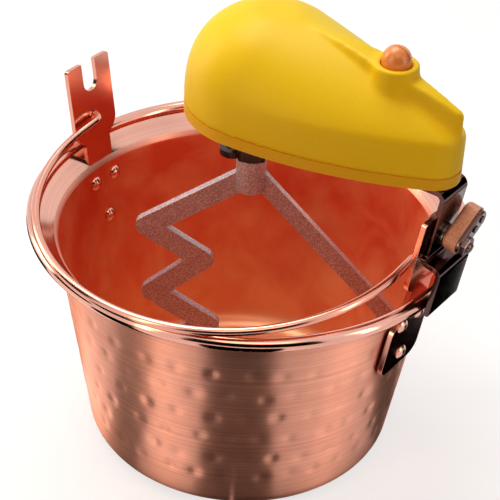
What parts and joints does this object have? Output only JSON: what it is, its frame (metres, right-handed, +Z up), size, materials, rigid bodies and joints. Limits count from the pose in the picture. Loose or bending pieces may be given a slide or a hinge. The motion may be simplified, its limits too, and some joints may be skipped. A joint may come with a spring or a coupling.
{
  "type": "electric polenta maker",
  "caption": "Hammered copper pot with forked ears, a bail handle and a clamp-on electric stirrer that turns a zigzag paddle.",
  "frame": {"origin": "centre of the pot's flat base, on the pot's axis, where it stands", "axes": "+Z up along the pot's and the paddle shaft's axis; +X towards the ear that holds the drive; the bail lies over the rim on the -Y side"},
  "size_m": [0.2761, 0.262, 0.2925],
  "materials": {
    "hammered_copper": "spun copper sheet, hammered and brushed outside",
    "rim_wire_steel": "drawn steel wire",
    "plated_ear": "copper-plated steel plate, polished",
    "copper_rivet": "solid copper rivets",
    "plated_rod": "copper-plated steel rod, polished",
    "yellow_cover": "moulded ABS, fine grain",
    "yellow_base": "moulded ABS, fine grain",
    "black_rubber": "moulded rubber",
    "plated_bracket": "nickel-plated steel strap",
    "screw_steel": "zinc-plated steel",
    "stud_steel": "turned and plated steel",
    "beech": "turned beech, oiled",
    "strap_steel": "pressed steel, plated",
    "orange_button": "translucent moulded polycarbonate",
    "switch_black": "moulded nylon",
    "spring_steel": "spring wire",
    "gear_nylon": "moulded acetal",
    "shaft_steel": "turned stainless steel",
    "bronze": "sintered bronze",
    "plate_steel": "zinc-plated sheet steel",
    "winding": "enamelled copper winding",
    "magnet": "ferrite rotor on a steel shaft",
    "cast_paddle": "sand-cast aluminium, ground edges",
    "clip_black": "moulded nylon"
  },
  "bodies": {
    "pot": {"pot_shell": "hammered_copper", "rim_wire": "rim_wire_steel", "ear_left": "plated_ear", "ear_right": "plated_ear", "ear_rivets_left": "copper_rivet", "ear_rivets_right": "copper_rivet"},
    "bail": {"bail_handle": "plated_rod"},
    "drive": {"housing_cover": "yellow_cover", "housing_base": "yellow_base", "housing_screws": "screw_steel", "cable_grommet": "black_rubber", "mount_bracket": "plated_bracket", "bracket_screws": "screw_steel", "clamp_stud": "stud_steel", "switch_body": "switch_black", "button_spring": "spring_steel", "output_bush": "bronze", "gear_pin": "shaft_steel", "gear_plate": "plate_steel", "gear_posts": "shaft_steel", "plate_screws": "screw_steel", "motor_can": "plate_steel", "motor_coil": "winding"},
    "clamp": {"clamp_nut": "stud_steel", "clamp_grip": "beech", "clamp_strap": "strap_steel", "grip_rivets": "screw_steel"},
    "button": {"power_button": "orange_button"},
    "stirrer": {"output_gear": "gear_nylon", "output_shaft": "shaft_steel", "paddle": "cast_paddle"},
    "compound": {"compound_gear": "gear_nylon"},
    "rotor": {"motor_rotor": "magnet"},
    "clip": {"lock_clip": "clip_black"}
  },
  "joints": [
    {"name": "bail_swing", "type": "hinge", "parent": "pot", "child": "bail", "pos_m": [0, 0, 0.17172], "axis": [-1, 0, 0], "range_deg": [0, 60]},
    {"name": "drive_lift", "type": "slide", "parent": "pot", "child": "drive", "axis": [0.153, 0, 0.9882], "range_m": [0, 0.2]},
    {"name": "clamp_turn", "type": "hinge", "parent": "drive", "child": "clamp", "pos_m": [0.13187, 0, 0.19221], "axis": [0.9882, 0, -0.153], "range_deg": [0, 110]},
    {"name": "button_press", "type": "slide", "parent": "drive", "child": "button", "axis": [0, 0, -1], "range_m": [0, 0.003], "stiffness_N_per_m": 400, "springref_m": -0.002, "deforming": ["button_spring"]},
    {"name": "paddle_spin", "type": "hinge", "parent": "drive", "child": "stirrer", "pos_m": [0, 0, 0.21], "axis": [0, 0, 1], "continuous": true},
    {"name": "compound_spin", "type": "hinge", "parent": "drive", "child": "compound", "pos_m": [0.03099, -0.01789, 0.24], "axis": [0, 0, 1], "continuous": true},
    {"name": "rotor_spin", "type": "hinge", "parent": "drive", "child": "rotor", "pos_m": [0.04214, 0, 0.25], "axis": [0, 0, 1], "continuous": true},
    {"name": "clip_pull", "type": "slide", "parent": "stirrer", "child": "clip", "axis": [-0.829, -0.5592, 0], "range_m": [0, 0.016]}
  ],
  "couplings": [
    {"joint": "compound_spin", "follows": "paddle_spin", "ratio": -5},
    {"joint": "rotor_spin", "follows": "paddle_spin", "ratio": 20}
  ]
}
